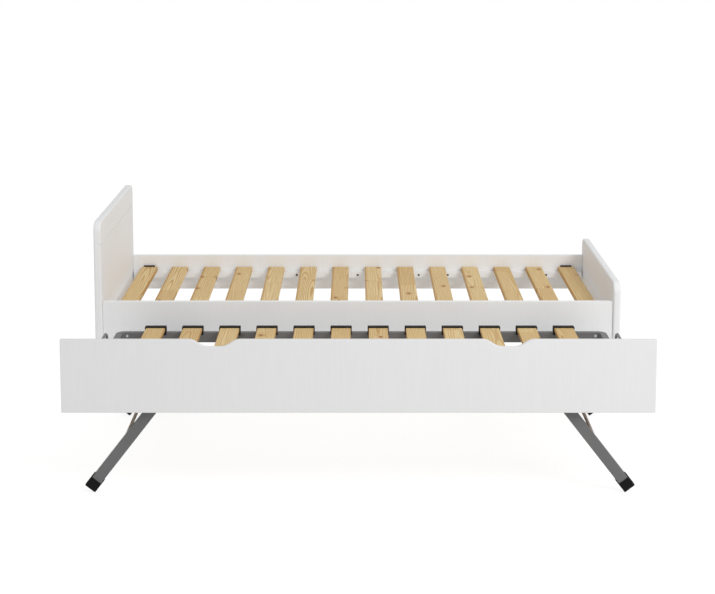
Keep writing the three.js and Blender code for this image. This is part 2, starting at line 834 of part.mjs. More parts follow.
function addLegs(trundle) {
  for (const [name, side] of [['left', -1], ['right', 1]]) {
    const pivot = new THREE.Group();
    pivot.position.set(legPlace(side), 0, pivotZ);
    pivot.rotation.y = -side * legSplay;
    trundle.add(pivot);
    addMesh(pivot, `${name}_legs`, legAssembly(), greyMetal);
    addMesh(pivot, `foot_cap_front_${name}`, footCap(-legMiddleY), blackPlastic);
    addMesh(pivot, `foot_cap_rear_${name}`, footCap(legMiddleY), blackPlastic);
    addSpring(trundle, `leg_spring_front_${name}`, side, -springMiddleY);
    addSpring(trundle, `leg_spring_rear_${name}`, side, springMiddleY);
  }
}

// ---------------------------------------------------------------- assembly

const model = new THREE.Group();
const bed = new THREE.Group();
bed.position.y = bedMiddleY;
const trundle = new THREE.Group();
trundle.position.set(trundleShift, frameMiddleY, 0);
model.add(bed, trundle);

addEndPanels(bed);
addRails(bed);
addBattens(bed);
addBedSlats(bed);
addDrawerFront(trundle);
addDrawerFrontBrackets(trundle);
addFrame(trundle);
addCrossMembers(trundle);
addTrundleSlats(trundle);
addSlatCaps(trundle);
addMattressHoops(trundle);
addLegs(trundle);

export default model;
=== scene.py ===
# A white single bed with a slatted trundle bed in front of it, raised on sprung folding legs.
# Metres, +Z up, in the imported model's frame: X runs from the headboard to the footboard.

import json
import math

import bmesh
import bpy
from mathutils import Matrix, Vector
from mathutils.geometry import interpolate_bezier


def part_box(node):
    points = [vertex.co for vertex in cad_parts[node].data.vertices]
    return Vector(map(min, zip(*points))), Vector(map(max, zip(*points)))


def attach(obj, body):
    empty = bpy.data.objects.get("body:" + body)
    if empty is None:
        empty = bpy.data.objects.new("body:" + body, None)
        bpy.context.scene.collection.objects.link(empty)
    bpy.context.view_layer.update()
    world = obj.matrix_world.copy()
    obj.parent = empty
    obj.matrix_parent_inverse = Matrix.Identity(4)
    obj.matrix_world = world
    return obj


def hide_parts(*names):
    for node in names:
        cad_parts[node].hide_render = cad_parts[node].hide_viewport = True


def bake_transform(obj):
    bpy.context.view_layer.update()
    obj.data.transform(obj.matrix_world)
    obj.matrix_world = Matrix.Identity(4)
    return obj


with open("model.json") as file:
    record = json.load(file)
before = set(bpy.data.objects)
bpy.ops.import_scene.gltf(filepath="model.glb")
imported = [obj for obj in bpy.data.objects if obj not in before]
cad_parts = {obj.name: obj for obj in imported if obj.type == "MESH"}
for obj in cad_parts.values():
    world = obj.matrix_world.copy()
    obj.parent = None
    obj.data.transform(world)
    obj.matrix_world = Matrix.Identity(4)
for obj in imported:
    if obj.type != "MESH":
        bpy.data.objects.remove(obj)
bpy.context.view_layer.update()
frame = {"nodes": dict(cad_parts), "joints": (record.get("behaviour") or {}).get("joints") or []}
scene = bpy.context.scene
joints = {joint["name"]: joint for joint in frame["joints"]}
sides = (("left", -1), ("right", 1))
ends = (("front", -1), ("rear", 1))
seatGap = 0.0003  # between a piece and what it sits on, as in the CAD model
overlap = 0.001  # how far one solid of a piece reaches into its neighbour
tiny = 1e-6  # two places nearer than this are the same


camera = {"place": (-0.001, -6.6, 1.855), "tilt": 8.22, "lens": 90.81, "sensor": 36, "shift": -0.17}


def addCamera():
    data = bpy.data.cameras.new("camera")
    data.lens = camera["lens"]
    data.sensor_width = camera["sensor"]
    data.shift_y = camera["shift"]
    eye = bpy.data.objects.new("camera", data)
    eye.location = camera["place"]
    eye.rotation_euler = (math.radians(90 - camera["tilt"]), 0, 0)
    scene.collection.objects.link(eye)
    scene.camera = eye


addCamera()


# Adds a node. A value may be a constant or another node's output, which is then linked.
def place(tree, kind, values=None, **settings):
    node = tree.nodes.new(kind)
    for key, value in settings.items():
        setattr(node, key, value)
    for key, value in (values or {}).items():
        if isinstance(value, bpy.types.NodeSocket):
            tree.links.new(value, node.inputs[key])
        else:
            node.inputs[key].default_value = value
    return node


def compute(tree, operation, *values):
    return place(tree, "ShaderNodeMath", dict(enumerate(values)), operation=operation).outputs[0]


def computeVector(tree, operation, *values):
    node = place(tree, "ShaderNodeVectorMath", dict(enumerate(values)), operation=operation)
    return node.outputs[0]


def noise(tree, vector, scale, detail):
    values = {"Vector": vector, "Scale": scale, "Detail": detail}
    return place(tree, "ShaderNodeTexNoise", values).outputs[0]


# A value from one range to another, clamped.
def remap(tree, value, fromLow, fromHigh, toLow=0.0, toHigh=1.0):
    values = dict(enumerate((value, fromLow, fromHigh, toLow, toHigh)))
    return place(tree, "ShaderNodeMapRange", values).outputs[0]


def mixColour(tree, factor, first, second):
    node = place(tree, "ShaderNodeMix", {0: factor, 6: first, 7: second}, data_type="RGBA")
    return node.outputs[2]


def separate(tree, colour):
    return place(tree, "ShaderNodeSeparateColor", {0: colour}).outputs


def stretch(tree, x, y, *z):
    return place(tree, "ShaderNodeCombineXYZ", dict(enumerate((x, y, *z)))).outputs[0]


def rgba(red, green, blue):
    return (red, green, blue, 1.0)


# A group that reads a Vector and its named values, and puts out a colour, a height and a
# roughness.
def newGroup(name, inputs):
    tree = bpy.data.node_groups.new(name, "ShaderNodeTree")
    tree.interface.new_socket("Vector", in_out="INPUT", socket_type="NodeSocketVector")
    for title, start in inputs.items():
        kind = "NodeSocketColor" if isinstance(start, tuple) else "NodeSocketFloat"
        socket = tree.interface.new_socket(title, in_out="INPUT", socket_type=kind)
        socket.default_value = start
    for title, kind in (("Color", "Color"), ("Height", "Float"), ("Roughness", "Float")):
        tree.interface.new_socket(title, in_out="OUTPUT", socket_type=f"NodeSocket{kind}")
    return tree, tree.nodes.new("NodeGroupInput").outputs


def finishGroup(tree, colour, height, roughness):
    out = tree.nodes.new("NodeGroupOutput").inputs
    for title, result in (("Color", colour), ("Height", height), ("Roughness", roughness)):
        tree.links.new(result, out[title])
    return tree


# How planed pine looks. Knots are measured in the cells of a pattern, other lengths in metres.
pine = {
    "spread": 11.0,  # how far a draw moves the patterns
    "knotCells": (17.0, 8.5),  # cells to a metre, across and along
    "knotDraw": 0.84,  # a cell that draws more than this has a knot
    "knotCore": (0.05, 0.14), "knotHalo": (0.1, 0.3), "knotSwell": (0.05, 0.5), "swell": 0.011,
    "wanderScale": (5.0, 0.8), "wander": 0.009, "pithAside": 0.055, "pithDepth": (0.006, 0.034),
    "ringStart": 0.1, "ringContrast": (0.35, 1.0),
    "fibreScale": 300.0, "fibreStretch": 0.02, "fibreRange": (0.35, 0.75), "fibreContrast": 0.4,
    "jointWidth": 0.006,  # as a part of a finger-jointed length
    # the first pair on the next line: how far in from a slat's edge its painted edge shade fades out
    "edgeShade": (0.0008, 0.0035), "toneSpread": 0.3, "relief": 0.6, "roughness": (0.5, 0.66),
}
# How far each mark takes the colour towards the dark tone, or a knot's core towards its own.
pineDepth = {"grain": 0.75, "joint": 0.45, "edgeShade": 0.7, "halo": 0.6, "knot": 0.85}


# Planed pine: every slat of a row, and every finger-jointed length in it, gets its own
# rings, tone and knots. The grain runs along Y.
def makeWoodGroup():
    tree, given = newGroup("planedWood", {
        "Row start": 0.0, "Row pitch": 0.1, "Length": 0.45, "Half width": 0.034,
        "Ring width": 0.0055, "Light": rgba(0.7, 0.5, 0.26), "Dark": rgba(0.45, 0.26, 0.1),
        "Knot": rgba(0.3, 0.09, 0.025),
    })
    x, y, z = place(tree, "ShaderNodeSeparateXYZ", {0: given["Vector"]}).outputs
    fromStart = compute(tree, "SUBTRACT", x, given["Row start"])
    inRow = compute(tree, "DIVIDE", fromStart, given["Row pitch"])
    slat = compute(tree, "FLOOR", inRow)
    slatDraw = place(tree, "ShaderNodeTexWhiteNoise", {"W": slat}, noise_dimensions="1D").outputs[0]
    along = compute(tree, "DIVIDE", compute(tree, "ADD", y, slatDraw), given["Length"])
    pair = stretch(tree, slat, compute(tree, "FLOOR", along))
    draw = place(tree, "ShaderNodeTexWhiteNoise", {"Vector": pair}, noise_dimensions="2D").outputs[1]
    drawn = separate(tree, draw)
    offset = place(tree, "ShaderNodeVectorMath", {0: draw, "Scale": pine["spread"]},
                   operation="SCALE").outputs[0]
    # knots: a few of the cells of a cell pattern
    across, down = pine["knotCells"]
    knotSpace = stretch(
        tree, compute(tree, "MULTIPLY", x, across), compute(tree, "MULTIPLY", y, down))
    cells = place(
        tree, "ShaderNodeTexVoronoi", {
            "Vector": computeVector(tree, "ADD", knotSpace, offset), "Scale": 1.0},
        voronoi_dimensions="2D").outputs
    chosen = compute(tree, "GREATER_THAN", separate(tree, cells["Color"])[0], pine["knotDraw"])

    def aroundKnots(reach, strength):
        fade = remap(tree, cells["Distance"], *reach, strength, 0.0)
        return compute(tree, "MULTIPLY", fade, chosen)

    knots = aroundKnots(pine["knotCore"], pineDepth["knot"])
    swell = aroundKnots(pine["knotSwell"], pine["swell"])
    halo = aroundKnots(pine["knotHalo"], pineDepth["halo"])
    # rings: the distance from a pith line that wanders under the face
    inSlat = compute(tree, "SUBTRACT", compute(tree, "FRACT", inRow), 0.5)
    fromMiddle = compute(tree, "MULTIPLY", inSlat, given["Row pitch"])
    across, down = pine["wanderScale"]
    slowSpace = stretch(
        tree, compute(tree, "MULTIPLY", x, across), compute(tree, "MULTIPLY", y, down), z)
    slow = place(tree, "ShaderNodeTexNoise", {
        "Vector": computeVector(tree, "ADD", slowSpace, offset), "Scale": 1.0, "Detail": 2.0})
    wander = separate(tree, slow.outputs[1])
    aside, sway = pine["pithAside"], pine["wander"]
    pithX = compute(tree, "ADD", fromMiddle, remap(tree, drawn[0], 0.0, 1.0, -aside, aside))
    pithX = compute(tree, "ADD", pithX, remap(tree, wander[0], 0.2, 0.8, -sway, sway))
    pith = stretch(tree, pithX, remap(tree, wander[1], 0.3, 0.7, *pine["pithDepth"]))
    reach = place(tree, "ShaderNodeVectorMath", {0: pith}, operation="LENGTH").outputs["Value"]
    turns = compute(tree, "DIVIDE", compute(tree, "ADD", reach, swell), given["Ring width"])
    wave = compute(tree, "SINE", compute(tree, "MULTIPLY", turns, math.tau))
    rings = compute(tree, "MULTIPLY", remap(tree, wave, pine["ringStart"], 1.0),
                    remap(tree, drawn[2], 0.0, 1.0, *pine["ringContrast"]))
    # fibres: fine streaks
    fineSpace = stretch(tree, x, compute(tree, "MULTIPLY", y, pine["fibreStretch"]), z)
    fibres = noise(tree, computeVector(tree, "ADD", fineSpace, offset), pine["fibreScale"], 3.0)
    fibres = remap(tree, fibres, *pine["fibreRange"], 0.0, pine["fibreContrast"])
    grain = compute(tree, "MINIMUM", compute(tree, "ADD", rings, fibres), 1.0)
    # finger joints are thin lines, and the rounded edges and sides of each slat are painted darker:
    # painted shade
    joint = compute(tree, "LESS_THAN", compute(tree, "FRACT", along), pine["jointWidth"])
    fromEdge = compute(tree, "SUBTRACT", given["Half width"], compute(tree, "ABSOLUTE", fromMiddle))
    edgeShade = remap(tree, fromEdge, *pine["edgeShade"], pineDepth["edgeShade"], 0.0)
    tone = remap(tree, drawn[1], 0.0, 1.0, 0.0, pine["toneSpread"])
    colour = mixColour(tree, tone, given["Light"], given["Dark"])
    for mask in (compute(tree, "MULTIPLY", grain, pineDepth["grain"]),
                 compute(tree, "MULTIPLY", joint, pineDepth["joint"]), edgeShade, halo):
        colour = mixColour(tree, mask, colour, given["Dark"])
    colour = mixColour(tree, knots, colour, given["Knot"])
    height = compute(tree, "SUBTRACT", 1.0, compute(tree, "MULTIPLY", grain, pine["relief"]))
    height = compute(tree, "SUBTRACT", height, joint)
    return finishGroup(tree, colour, height, remap(tree, grain, 0.0, 1.0, *pine["roughness"]))


speckle = {"cloudScale": 7.0, "cloudRange": (0.3, 0.7)}


# Small speckle for powder coat, moulded plastic and wire, over slow clouds of tone.
def makeSpeckleGroup():
    tree, given = newGroup("fineSpeckle", {
        "Scale": 900.0, "Smoothest": 0.35, "Roughest": 0.5,
        "First": rgba(0.1, 0.1, 0.1), "Second": rgba(0.12, 0.12, 0.12),
    })
    grit = noise(tree, given["Vector"], given["Scale"], 2.0)
    clouds = noise(tree, given["Vector"], speckle["cloudScale"], 3.0)
    mask = remap(tree, clouds, *speckle["cloudRange"])
    colour = mixColour(tree, mask, given["First"], given["Second"])
    rough = remap(tree, mask, 0.0, 1.0, given["Smoothest"], given["Roughest"])
    return finishGroup(tree, colour, grit, rough)


foil = {"streakScale": 130.0, "streakStretch": 0.06, "streakShare": 0.6, "cloudScale": 2.2,
        "cloudShare": 0.4, "toneRange": (0.36, 0.64), "roughness": (0.5, 0.6)}


# Foil or lacquer on board: faint upright streaks and slow clouds of tone.
def makeFoilGroup():
    tree, given = newGroup("whiteFoil", {
        "Pale": rgba(0.85, 0.85, 0.85), "Deep": rgba(0.83, 0.83, 0.83),
    })
    upright = (1.0, 1.0, foil["streakStretch"])
    stretched = computeVector(tree, "MULTIPLY", given["Vector"], upright)
    streaks = noise(tree, stretched, foil["streakScale"], 3.0)
    clouds = noise(tree, given["Vector"], foil["cloudScale"], 2.0)
    mixed = compute(tree, "ADD", compute(tree, "MULTIPLY", streaks, foil["streakShare"]),
                    compute(tree, "MULTIPLY", clouds, foil["cloudShare"]))
    tone = remap(tree, mixed, *foil["toneRange"])
    colour = mixColour(tree, tone, given["Pale"], given["Deep"])
    return finishGroup(tree, colour, streaks, remap(tree, clouds, 0.3, 0.7, *foil["roughness"]))


groups = {"wood": makeWoodGroup(), "speckle": makeSpeckleGroup(), "foil": makeFoilGroup()}


# A material made of one shared effect, placed with its own values.
def makeMaterial(name, effect, values, bump, metallic=0.0, specular=0.5):
    look = bpy.data.materials.new(name)
    look.use_nodes = True
    tree = look.node_tree
    shader = tree.nodes["Principled BSDF"]
    coords = tree.nodes.new("ShaderNodeTexCoord").outputs["Object"]
    group = place(tree, "ShaderNodeGroup", node_tree=groups[effect])
    tree.links.new(coords, group.inputs["Vector"])
    for key, value in values.items():
        group.inputs[key].default_value = value
    relief = place(tree, "ShaderNodeBump", {
        "Height": group.outputs["Height"], "Strength": bump[0], "Distance": bump[1]})
    tree.links.new(group.outputs["Color"], shader.inputs["Base Color"])
    tree.links.new(group.outputs["Roughness"], shader.inputs["Roughness"])
    tree.links.new(relief.outputs["Normal"], shader.inputs["Normal"])
    shader.inputs["Metallic"].default_value = metallic
    shader.inputs["Specular IOR Level"].default_value = specular
    return look


# Each slat lies in the middle of its cell of a row. Length is that of a finger-jointed piece.
slatRows = {
    "bed": {"Row start": -0.886 - 0.068, "Row pitch": 1.772 / 13, "Length": 0.61,
            "Half width": 0.034},
    "trundle": {"Row start": 0.007 - 6 * 0.1371, "Row pitch": 0.1371, "Length": 0.53,
                "Half width": 0.0355},
}
pineTones = {"Light": rgba(0.85, 0.665, 0.355), "Dark": rgba(0.5, 0.27, 0.08)}

looks = {
    # The bed's white is made lighter than the drawer front's, so that the bed's rails and panels,
    # which sit in more shade, come out as bright as the drawer front: painted light.
    "lightenedWhitePaint": makeMaterial("lightenedWhitePaint", "foil", {
        "Pale": rgba(0.918, 0.924, 0.93), "Deep": rgba(0.898, 0.904, 0.91),
    }, (0.05, 0.0004), specular=0.03),
    "whiteFoil": makeMaterial("whiteFoil", "foil", {
        "Pale": rgba(0.822, 0.822, 0.822), "Deep": rgba(0.805, 0.805, 0.805),
    }, (0.05, 0.0004), specular=0.03),
    "bedPine": makeMaterial(
        "bedPine", "wood", {**slatRows["bed"], **pineTones}, (0.25, 0.0004), specular=0.06),
    "trundlePine": makeMaterial(
        "trundlePine", "wood", {**slatRows["trundle"], **pineTones}, (0.25, 0.0004), specular=0.06),
    "greyCoat": makeMaterial("greyCoat", "speckle", {
        "Scale": 1400.0, "Smoothest": 0.34, "Roughest": 0.42,
        "First": rgba(0.142, 0.142, 0.144), "Second": rgba(0.165, 0.164, 0.163),
    }, (0.12, 0.0002), specular=0.2),
    "blackPlastic": makeMaterial("blackPlastic", "speckle", {
        "Scale": 1100.0, "Smoothest": 0.5, "Roughest": 0.6,
        "First": rgba(0.006, 0.006, 0.006), "Second": rgba(0.009, 0.009, 0.009),
    }, (0.15, 0.0002), specular=0.08),
    "clipPlastic": makeMaterial("clipPlastic", "speckle", {
        "Scale": 1000.0, "Smoothest": 0.45, "Roughest": 0.55,
        "First": rgba(0.062, 0.05, 0.046), "Second": rgba(0.08, 0.066, 0.06),
    }, (0.12, 0.0002), specular=0.2),
    "springWire": makeMaterial("springWire", "speckle", {
        "Scale": 1600.0, "Smoothest": 0.28, "Roughest": 0.4,
        "First": rgba(0.43, 0.36, 0.3), "Second": rgba(0.34, 0.27, 0.22),
    }, (0.1, 0.0001), metallic=0.8),
    "screwZinc": makeMaterial("screwZinc", "speckle", {
        "Scale": 1500.0, "Smoothest": 0.3, "Roughest": 0.45,
        "First": rgba(0.56, 0.56, 0.57), "Second": rgba(0.64, 0.64, 0.65),
    }, (0.08, 0.0001), metallic=0.9),
    "screwBronze": makeMaterial("screwBronze", "speckle", {
        "Scale": 1500.0, "Smoothest": 0.4, "Roughest": 0.55,
        "First": rgba(0.045, 0.035, 0.03), "Second": rgba(0.06, 0.05, 0.04),
    }, (0.08, 0.0001), metallic=0.5),
    "wheelGrey": makeMaterial("wheelGrey", "speckle", {
        "Scale": 900.0, "Smoothest": 0.42, "Roughest": 0.55,
        "First": rgba(0.24, 0.245, 0.25), "Second": rgba(0.28, 0.285, 0.29),
    }, (0.1, 0.0002)),
    "wheelTyre": makeMaterial("wheelTyre", "speckle", {
        "Scale": 700.0, "Smoothest": 0.6, "Roughest": 0.75,
        "First": rgba(0.05, 0.05, 0.052), "Second": rgba(0.065, 0.065, 0.066),
    }, (0.2, 0.0002)),
}
print("materials made:", len(looks))


# Shapes in bmesh that the pieces below are made of.
def boxShape(low, high):
    bm = bmesh.new()
    low, high = Vector(low), Vector(high)
    bmesh.ops.create_cube(bm, size=1)
    bmesh.ops.scale(bm, vec=high - low, verts=bm.verts)
    bmesh.ops.translate(bm, vec=(low + high) / 2, verts=bm.verts)
    return bm


def roundEdges(bm, edges, radius, segments=3):
    bmesh.ops.bevel(
        bm, geom=edges, offset=radius, affect="EDGES", segments=segments,
        profile=0.5, material=-1, clamp_overlap=True,
    )


def roundedBox(low, high, radius, segments=3):
    bm = boxShape(low, high)
    roundEdges(bm, bm.edges[:], radius, segments)
    return bm


# The edges that run along an axis, of those that a test picks.
def edgesAlong(bm, axis, test=lambda middle: True):
    found = []
    for edge in bm.edges:
        run = edge.verts[1].co - edge.verts[0].co
        middle = (edge.verts[0].co + edge.verts[1].co) / 2
        if abs(run[axis]) > 0.99 * run.length and test(middle):
            found.append(edge)
    return found


# The edges that lie in a plane across an axis.
def edgesAcross(bm, axis):
    return [edge for edge in bm.edges
            if abs(edge.verts[0].co[axis] - edge.verts[1].co[axis]) < tiny]


# The faces that lie in the plane at a level of an axis.
def facesAt(bm, axis, level):
    return [face for face in bm.faces if abs(face.calc_center_median()[axis] - level) < tiny]


def addShape(bm, other):
    mesh = bpy.data.meshes.new("part")
    other.to_mesh(mesh)
    other.free()
    bm.from_mesh(mesh)
    bpy.data.meshes.remove(mesh)


def moveShape(bm, matrix):
    bmesh.ops.transform(bm, matrix=matrix, verts=bm.verts)
    return bm


def extrudeFaces(bm, faces, move):
    made = bmesh.ops.extrude_face_region(bm, geom=faces)["geom"]
    verts = [part for part in made if isinstance(part, bmesh.types.BMVert)]
    bmesh.ops.translate(bm, vec=move, verts=verts)


# Pushes faces into a shape as the floor of a pocket.
def sinkFaces(bm, faces, move):
    extrudeFaces(bm, faces, move)
    bmesh.ops.delete(bm, geom=faces, context="FACES_ONLY")


# A flat outline, made as thick as the move says.
def plateShape(outline, move):
    bm = bmesh.new()
    face = bm.faces.new([bm.verts.new(point) for point in outline])
    extrudeFaces(bm, [face], move)
    return bm


# A round bar between two points, with its rims rounded if an edge radius is given.
def addBar(bm, radius, start, end, segments=24, edge=0.0):
    start, end = Vector(start), Vector(end)
    run = end - start
    turn = run.to_track_quat("Z", "Y").to_matrix().to_4x4()
    bar = bmesh.new()
    bmesh.ops.create_cone(
        bar, cap_ends=True, segments=segments, radius1=radius, radius2=radius, depth=run.length)
    if edge:
        roundEdges(bar, edgesAcross(bar, 2), edge, 2)
    addShape(bm, moveShape(bar, Matrix.Translation((start + end) / 2) @ turn))


# A flat ear on a tube, with its lower corners rounded.
def addEar(bm, low, high, axis, below, radius):
    ear = boxShape(low, high)
    roundEdges(ear, edgesAlong(ear, axis, lambda middle: middle.z < below), radius, 6)
    addShape(bm, ear)


# Sections for swept shapes: a closed ring of edges in the plane of the matrix.
def circleSection(bm, radius, segments, matrix):
    bmesh.ops.create_circle(bm, cap_ends=False, segments=segments, radius=radius, matrix=matrix)
    return bm.edges[:]


def roundedSection(bm, width, depth, radius, matrix):
    x, y = width / 2, depth / 2
    corners = [bm.verts.new((x, -y, 0)), bm.verts.new((x, y, 0)),
               bm.verts.new((-x, y, 0)), bm.verts.new((-x, -y, 0))]
    bm.faces.new(corners)
    bmesh.ops.bevel(
        bm, geom=corners, offset=radius, affect="VERTICES", segments=4,
        profile=0.5, material=-1)
    bmesh.ops.delete(bm, geom=bm.faces[:], context="FACES_ONLY")
    moveShape(bm, matrix)
    return bm.edges[:]


def sweepStraight(bm, ring, step):
    made = bmesh.ops.extrude_edge_only(bm, edges=ring)["geom"]
    verts = {part for part in made if isinstance(part, bmesh.types.BMVert)}
    bmesh.ops.translate(bm, vec=step, verts=list(verts))
    return [part for part in made if isinstance(part, bmesh.types.BMEdge)
            and part.verts[0] in verts and part.verts[1] in verts]


def sweepBend(bm, ring, centre, axis, degrees, steps, rise=(0, 0, 0)):
    verts = list({vert for edge in ring for vert in edge.verts})
    last = bmesh.ops.spin(
        bm, geom=ring + verts, cent=centre, axis=axis, angle=math.radians(degrees),
        steps=steps, dvec=rise, use_merge=False, use_duplicate=False)["geom_last"]
    return [part for part in last if isinstance(part, bmesh.types.BMEdge)]


def closeEnds(bm):
    bmesh.ops.holes_fill(bm, edges=[edge for edge in bm.edges if edge.is_boundary], sides=0)


# Turns a shape into an object of the scene that rides on a CAD body, or, when blend is given, is
# fixed in place where it was made. Edges sharper than an angle in degrees stay crisp.
def addPiece(name, bm, look, body, *cadNodes, blend=None, sharp=38):
    bmesh.ops.remove_doubles(bm, verts=bm.verts, dist=tiny)
    bmesh.ops.recalc_face_normals(bm, faces=bm.faces)
    mesh = bpy.data.meshes.new(name)
    bm.to_mesh(mesh)
    bm.free()
    mesh.shade_smooth()
    mesh.set_sharp_from_angle(angle=math.radians(sharp))
    mesh.materials.append(looks[look])
    piece = bpy.data.objects.new(name, mesh)
    scene.collection.objects.link(piece)
    piece.modifiers.new("weightedNormals", "WEIGHTED_NORMAL").keep_sharp = True
    if cadNodes:
        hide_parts(*cadNodes)
    if blend:
        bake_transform(piece)
    else:
        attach(piece, body)


panel = {"cornerRadius": 0.04, "edgeRadius": 0.007,
         "grooveBelowTop": 0.087, "grooveWidth": 0.0045, "grooveDepth": 0.004}


def panelShape(node):
    low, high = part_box(node)
    bm = boxShape(low, high)
    corners = edgesAlong(bm, 0, lambda middle: middle.z > high.z - tiny)
    roundEdges(bm, corners, panel["cornerRadius"], 12)
    roundEdges(bm, edgesAcross(bm, 0), panel["edgeRadius"], 4)
    return bm, low, high


# A narrow groove right across the panel's inner face, with nearly upright sides.
def cutGroove(bm, low, high):
    middle = high.z - panel["grooveBelowTop"]
    for level in (-0.5, -0.42, 0.42, 0.5):  # as parts of the groove's width
        height = middle + level * panel["grooveWidth"]
        bmesh.ops.bisect_plane(
            bm, geom=bm.verts[:] + bm.edges[:] + bm.faces[:],
            plane_co=(0, 0, height), plane_no=(0, 0, 1))
    halfway = (low.x + high.x) / 2
    for vert in bm.verts:
        if abs(vert.co.z - middle) < 0.45 * panel["grooveWidth"] and vert.co.x > halfway:
            vert.co.x -= panel["grooveDepth"]


def addPanels():
    head, low, high = panelShape("headboard")
    cutGroove(head, low, high)
    addPiece("headboardPanel", head, "lightenedWhitePaint", "bed", "headboard")
    addPiece("footboardPanel", panelShape("footboard")[0], "lightenedWhitePaint", "bed", "footboard")


board = {"railEdge": 0.002, "battenEdge": 0.0012, "slatEdge": 0.0018, "slatCornerCut": 0.008}
battenScrew = {"places": (-0.8, -0.382, -0.259, 0, 0.259, 0.382, 0.8), "radius": 0.0045,
               "proud": 0.0012, "sunk": 0.003, "edge": 0.0006}
slatClip = {"width": 0.046, "lap": 0.006, "rise": 0.0065, "reach": 0.0045, "play": 0.0002,
            "edge": 0.001, "stemEdge": 0.0008}


def addRailsAndBattens():
    for end, side in ends:
        rail = roundedBox(*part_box(f"{end}_rail"), board["railEdge"])
        addPiece(f"{end}RailBoard", rail, "lightenedWhitePaint", "bed", f"{end}_rail")
        low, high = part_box(f"{end}_batten")
        batten = roundedBox(low, high, board["battenEdge"], 2)
        addPiece(f"{end}BattenStrip", batten, "lightenedWhitePaint", "bed", f"{end}_batten")
        face = high.y if side < 0 else low.y  # the face towards the bed's middle
        z = (low.z + high.z) / 2
        screws = bmesh.new()
        for x in battenScrew["places"]:
            addBar(screws, battenScrew["radius"], (x, face + side * battenScrew["sunk"], z),
                   (x, face - side * battenScrew["proud"], z), 16, battenScrew["edge"])
        addPiece(f"{end}BattenScrews", screws, "screwBronze", "bed")


def addBedSlats():
    count = sum(name.startswith("bed_slat_") for name in frame["nodes"])
    for number in range(1, count + 1):
        node = f"bed_slat_{number:02d}"
        low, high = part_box(node)
        slat = boxShape(low, high)
        outer = {1: low.x, count: high.x}.get(number)
        if outer is not None:
            corners = edgesAlong(slat, 2, lambda middle: abs(middle.x - outer) < tiny)
            roundEdges(slat, corners, board["slatCornerCut"], 1)
        roundEdges(slat, slat.edges[:], board["slatEdge"])
        addPiece(f"bedSlatBoard{number:02d}", slat, "bedPine", "bed", node)
        if outer is not None:
            addSlatClips(number, low, high)


# Black clips that hold an end slat's two ends against the rails: a bar over the slat and a
# stem beside its end.
def addSlatClips(number, low, high):
    middle = (low.x + high.x) / 2
    half = slatClip["width"] / 2
    top = high.z + slatClip["rise"]
    clips = bmesh.new()
    for y, toRail in ((low.y, -1), (high.y, 1)):
        wall = y + toRail * slatClip["reach"]
        for inner, bottom, height, edge in (
                (y - toRail * slatClip["lap"], high.z + slatClip["play"], top, slatClip["edge"]),
                (y + toRail * overlap, low.z, top - overlap, slatClip["stemEdge"])):
            ys = sorted((inner, wall))
            addShape(clips, roundedBox(
                (middle - half, ys[0], bottom), (middle + half, ys[1], height), edge, 2))
    addPiece(f"slatClips{number:02d}", clips, "clipPlastic", "bed")


drawerFront = {"edge": 0.002, "curveSteps": 12}
grip = {"spacing": 0.941, "shift": 0.009, "width": 0.166, "floorWidth": 0.042, "depth": 0.024,
        "ease": 0.42}
bracket = {"thickness": 0.004, "bend": 0.00175, "boltRadius": 0.006, "boltHead": 0.0035,
           "boltEdge": 0.0006, "lowerBolt": 0.035, "upperBolt": 0.02}


# Half a grip cut-out's edge, as a smooth S between the top edge and the floor.
def gripCurve(middle, side, top):
    edge = middle + side * grip["width"] / 2
    floor = middle + side * grip["floorWidth"] / 2
    bend = (edge - floor) * grip["ease"]
    low = top - grip["depth"]
    return interpolate_bezier(
        (edge, 0, top), (edge - bend, 0, top), (floor + bend, 0, low), (floor, 0, low),
        drawerFront["curveSteps"])


def addDrawerFront():
    low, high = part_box("drawer_front")
    middle = (low.x + high.x) / 2 + grip["shift"]
    outline = [Vector((low.x, 0, low.z)), Vector((high.x, 0, low.z)), Vector((high.x, 0, high.z))]
    for side in (1, -1):
        gripMiddle = middle + side * grip["spacing"] / 2
        outline += gripCurve(gripMiddle, 1, high.z)
        outline += reversed(gripCurve(gripMiddle, -1, high.z))
    outline.append(Vector((low.x, 0, high.z)))
    bm = plateShape([(point.x, low.y, point.z) for point in outline], (0, high.y - low.y, 0))
    corners = edgesAlong(bm, 1, lambda middle: min(middle.x - low.x, high.x - middle.x) < tiny)
    roundEdges(bm, edgesAcross(bm, 1) + corners, drawerFront["edge"])
    addPiece("drawerFrontBoard", bm, "whiteFoil", "trundle", "drawer_front")


# Strips bent twice, from the drawer front's back over the frame's front tube.
def addBrackets():
    t, head = bracket["thickness"], bracket["boltHead"]
    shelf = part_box("frame_right_end")[1].z
    for side in ("left", "middle", "right"):
        node = f"drawer_front_bracket_{side}"
        low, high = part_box(node)
        outline = [
            (low.y, shelf - t), (high.y - t, shelf - t), (high.y - t, low.z), (high.y, low.z),
            (high.y, shelf), (low.y + t, shelf), (low.y + t, high.z), (low.y, high.z)]
        bm = plateShape([(low.x, y, z) for y, z in outline], (high.x - low.x, 0, 0))
        bends = edgesAlong(bm, 0, lambda middle: abs(middle.z - shelf + t / 2) < t)
        roundEdges(bm, bends, bracket["bend"])
        x = (low.x + high.x) / 2
        for face, out, z in ((low.y + t, 1, shelf + bracket["lowerBolt"]),
                             (low.y + t, 1, high.z - bracket["upperBolt"]),
                             (high.y - t, -1, (low.z + shelf) / 2)):
            addBar(bm, bracket["boltRadius"], (x, face - out * overlap, z),
                   (x, face + out * head, z), 6, bracket["boltEdge"])
        addPiece(f"drawerBracket{side.title()}", bm, "greyCoat", "trundle", node)


